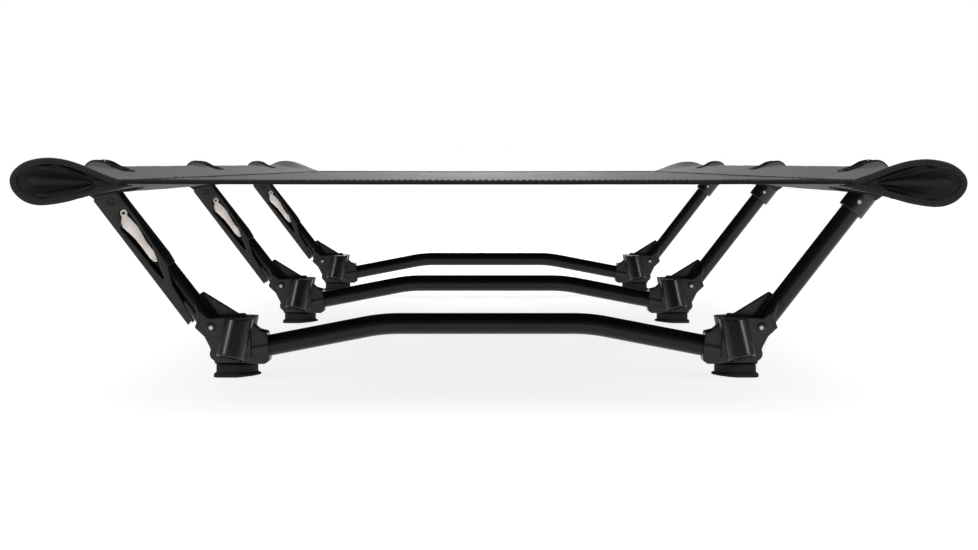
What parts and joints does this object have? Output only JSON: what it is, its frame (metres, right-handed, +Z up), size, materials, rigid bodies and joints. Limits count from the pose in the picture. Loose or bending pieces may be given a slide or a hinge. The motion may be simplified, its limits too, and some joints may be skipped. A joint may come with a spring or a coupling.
{
  "type": "camp cot",
  "caption": "Low folding camp cot: a fabric bed on side poles, held by folding leg sets with bowed cross tubes and lever-tensioned hooks.",
  "frame": {"origin": "on the floor at the centre of the bed, midway between the side poles", "axes": "+X across the bed to the fixed-hook side, +Y along the bed from foot end to head end, +Z up"},
  "size_m": [0.68, 1.9, 0.1834],
  "materials": {
    "bed_fabric": "closely woven black polyester, slight sheen",
    "sleeve_fabric": "closely woven black polyester with bound edges",
    "black_plastic": "fine-grained moulded nylon, black",
    "lever_plastic": "fine-grained moulded nylon, charcoal",
    "black_tube": "black anodised, satin",
    "bare_tube": "mill finish",
    "link_metal": "champagne anodised, matte",
    "steel": "bright rivet heads",
    "foot_rubber": "matte black rubber",
    "elastic": "braided elastic cord"
  },
  "bodies": {
    "foot_leg_base": {"foot_leg_bow": "black_tube", "foot_leg_hub_left": "black_plastic", "foot_leg_hub_right": "black_plastic", "foot_leg_foot_left": "foot_rubber", "foot_leg_foot_right": "foot_rubber", "foot_leg_pivot_pins": "steel"},
    "middle_leg_base": {"middle_leg_bow": "black_tube", "middle_leg_hub_left": "black_plastic", "middle_leg_hub_right": "black_plastic", "middle_leg_foot_left": "foot_rubber", "middle_leg_foot_right": "foot_rubber", "middle_leg_pivot_pins": "steel"},
    "head_leg_base": {"head_leg_bow": "black_tube", "head_leg_hub_left": "black_plastic", "head_leg_hub_right": "black_plastic", "head_leg_foot_left": "foot_rubber", "head_leg_foot_right": "foot_rubber", "head_leg_pivot_pins": "steel"},
    "sling": {"pole_left_1": "black_tube", "pole_left_2": "black_tube", "pole_left_3": "black_tube", "pole_left_4": "black_tube", "pole_right_1": "black_tube", "pole_right_2": "black_tube", "pole_right_3": "black_tube", "pole_right_4": "black_tube", "pole_ferrules": "bare_tube", "pole_caps": "black_plastic", "shock_cords": "elastic", "bed_panel": "bed_fabric", "sleeve_left": "sleeve_fabric", "sleeve_right": "sleeve_fabric", "end_panels": "sleeve_fabric"},
    "foot_leg_left": {"foot_leg_upright_left": "black_tube", "foot_leg_link_pin": "link_metal"},
    "foot_leg_right": {"foot_leg_upright_right": "black_tube", "foot_leg_hook_right": "black_plastic", "foot_leg_hook_rivet": "steel"},
    "foot_leg_hook": {"foot_leg_hook_left": "black_plastic", "foot_leg_lever_pin": "black_tube"},
    "foot_leg_lever": {"foot_leg_lever": "lever_plastic"},
    "foot_leg_link": {"foot_leg_links": "link_metal"},
    "middle_leg_left": {"middle_leg_upright_left": "black_tube", "middle_leg_link_pin": "link_metal"},
    "middle_leg_right": {"middle_leg_upright_right": "black_tube", "middle_leg_hook_right": "black_plastic", "middle_leg_hook_rivet": "steel"},
    "middle_leg_hook": {"middle_leg_hook_left": "black_plastic", "middle_leg_lever_pin": "black_tube"},
    "middle_leg_lever": {"middle_leg_lever": "lever_plastic"},
    "middle_leg_link": {"middle_leg_links": "link_metal"},
    "head_leg_left": {"head_leg_upright_left": "black_tube", "head_leg_link_pin": "link_metal"},
    "head_leg_right": {"head_leg_upright_right": "black_tube", "head_leg_hook_right": "black_plastic", "head_leg_hook_rivet": "steel"},
    "head_leg_hook": {"head_leg_hook_left": "black_plastic", "head_leg_lever_pin": "black_tube"},
    "head_leg_lever": {"head_leg_lever": "lever_plastic"},
    "head_leg_link": {"head_leg_links": "link_metal"}
  },
  "joints": [
    {"name": "sling_lift", "type": "slide", "parent": "middle_leg_base", "child": "sling", "axis": [0, 0, 1], "range_m": [0, 0.5]},
    {"name": "foot_leg_stay", "type": "slide", "parent": "sling", "child": "foot_leg_base", "axis": [0, 0, -1], "range_m": [0, 0.5]},
    {"name": "head_leg_stay", "type": "slide", "parent": "sling", "child": "head_leg_base", "axis": [0, 0, -1], "range_m": [0, 0.5]},
    {"name": "foot_leg_fold_left", "type": "hinge", "parent": "foot_leg_base", "child": "foot_leg_left", "pos_m": [-0.23217, -0.648, 0.04162], "axis": [0, 1, 0], "range_deg": [0, 115]},
    {"name": "foot_leg_fold_right", "type": "hinge", "parent": "foot_leg_base", "child": "foot_leg_right", "pos_m": [0.23217, -0.648, 0.04162], "axis": [0, -1, 0], "range_deg": [0, 115]},
    {"name": "foot_leg_hook_slide", "type": "slide", "parent": "foot_leg_left", "child": "foot_leg_hook", "axis": [0.6115, 0, -0.7912], "range_m": [0, 0.0186]},
    {"name": "foot_leg_lever_open", "type": "hinge", "parent": "foot_leg_hook", "child": "foot_leg_lever", "pos_m": [-0.31497, -0.648, 0.14875], "axis": [0, 1, 0], "range_deg": [0, 105]},
    {"name": "foot_leg_link_swing", "type": "hinge", "parent": "foot_leg_left", "child": "foot_leg_link", "pos_m": [-0.27845, -0.648, 0.10101], "axis": [0, -1, 0], "range_deg": [0, 20]},
    {"name": "middle_leg_fold_left", "type": "hinge", "parent": "middle_leg_base", "child": "middle_leg_left", "pos_m": [-0.23217, 0, 0.04162], "axis": [0, 1, 0], "range_deg": [0, 115]},
    {"name": "middle_leg_fold_right", "type": "hinge", "parent": "middle_leg_base", "child": "middle_leg_right", "pos_m": [0.23217, 0, 0.04162], "axis": [0, -1, 0], "range_deg": [0, 115]},
    {"name": "middle_leg_hook_slide", "type": "slide", "parent": "middle_leg_left", "child": "middle_leg_hook", "axis": [0.6115, 0, -0.7912], "range_m": [0, 0.0186]},
    {"name": "middle_leg_lever_open", "type": "hinge", "parent": "middle_leg_hook", "child": "middle_leg_lever", "pos_m": [-0.31497, 0, 0.14875], "axis": [0, 1, 0], "range_deg": [0, 105]},
    {"name": "middle_leg_link_swing", "type": "hinge", "parent": "middle_leg_left", "child": "middle_leg_link", "pos_m": [-0.27845, 0, 0.10101], "axis": [0, -1, 0], "range_deg": [0, 20]},
    {"name": "head_leg_fold_left", "type": "hinge", "parent": "head_leg_base", "child": "head_leg_left", "pos_m": [-0.23217, 0.648, 0.04162], "axis": [0, 1, 0], "range_deg": [0, 115]},
    {"name": "head_leg_fold_right", "type": "hinge", "parent": "head_leg_base", "child": "head_leg_right", "pos_m": [0.23217, 0.648, 0.04162], "axis": [0, -1, 0], "range_deg": [0, 115]},
    {"name": "head_leg_hook_slide", "type": "slide", "parent": "head_leg_left", "child": "head_leg_hook", "axis": [0.6115, 0, -0.7912], "range_m": [0, 0.0186]},
    {"name": "head_leg_lever_open", "type": "hinge", "parent": "head_leg_hook", "child": "head_leg_lever", "pos_m": [-0.31497, 0.648, 0.14875], "axis": [0, 1, 0], "range_deg": [0, 105]},
    {"name": "head_leg_link_swing", "type": "hinge", "parent": "head_leg_left", "child": "head_leg_link", "pos_m": [-0.27845, 0.648, 0.10101], "axis": [0, -1, 0], "range_deg": [0, 20]}
  ],
  "couplings": [
    {"joint": "foot_leg_stay", "follows": "sling_lift", "ratio": 1},
    {"joint": "head_leg_stay", "follows": "sling_lift", "ratio": 1},
    {"joint": "foot_leg_fold_left", "follows": "sling_lift", "rad_per_m": 4.014},
    {"joint": "foot_leg_fold_right", "follows": "sling_lift", "rad_per_m": 4.014},
    {"joint": "foot_leg_hook_slide", "follows": "foot_leg_lever_open", "m_per_rad": 0.00993},
    {"joint": "foot_leg_link_swing", "follows": "foot_leg_lever_open", "ratio": 0.1893},
    {"joint": "middle_leg_fold_left", "follows": "sling_lift", "rad_per_m": 4.014},
    {"joint": "middle_leg_fold_right", "follows": "sling_lift", "rad_per_m": 4.014},
    {"joint": "middle_leg_hook_slide", "follows": "middle_leg_lever_open", "m_per_rad": 0.00993},
    {"joint": "middle_leg_link_swing", "follows": "middle_leg_lever_open", "ratio": 0.1893},
    {"joint": "head_leg_fold_left", "follows": "sling_lift", "rad_per_m": 4.014},
    {"joint": "head_leg_fold_right", "follows": "sling_lift", "rad_per_m": 4.014},
    {"joint": "head_leg_hook_slide", "follows": "head_leg_lever_open", "m_per_rad": 0.00993},
    {"joint": "head_leg_link_swing", "follows": "head_leg_lever_open", "ratio": 0.1893}
  ]
}
